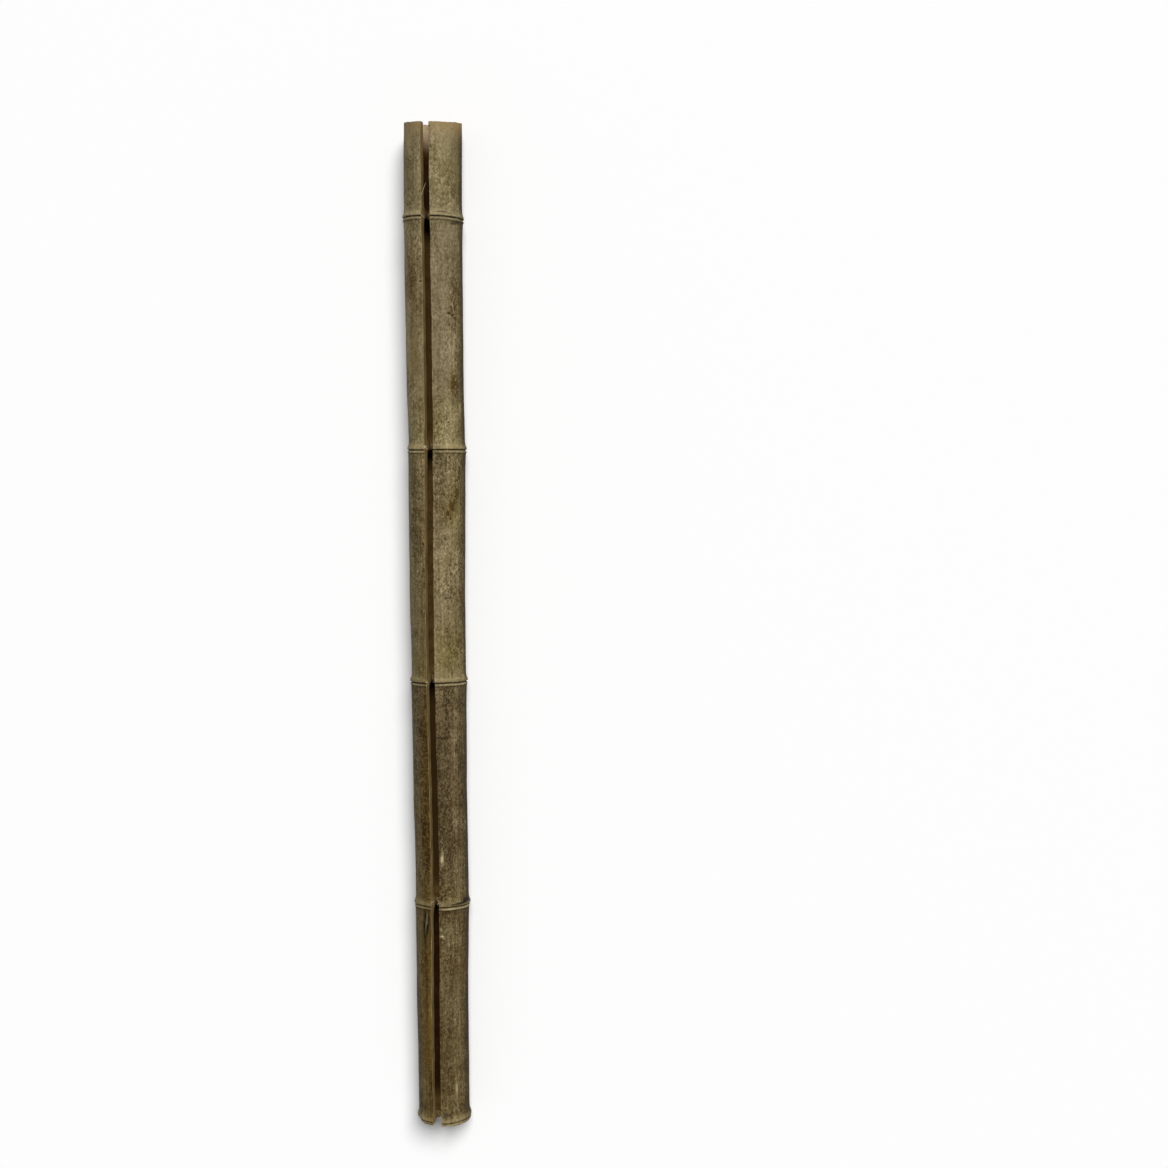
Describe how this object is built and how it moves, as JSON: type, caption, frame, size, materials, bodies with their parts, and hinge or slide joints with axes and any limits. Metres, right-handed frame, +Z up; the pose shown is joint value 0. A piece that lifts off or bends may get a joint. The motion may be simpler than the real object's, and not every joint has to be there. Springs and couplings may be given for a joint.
{
  "type": "slotted bamboo pole",
  "caption": "Straight cut of dry bamboo culm, hollow between its nodes, with one sawn slot along its whole length that slips over the edge of a panel or mat.",
  "frame": {"origin": "middle of the pole's footprint, on the surface that it lies on", "axes": "+Y along the pole towards its wide end, +Z up, the way the slot faces"},
  "size_m": [0.0556, 0.9176, 0.0543],
  "materials": {
    "culm": "weathered satin skin, raw where it is sawn"
  },
  "bodies": {
    "root": {"bamboo_pole": "culm"}
  },
  "joints": []
}
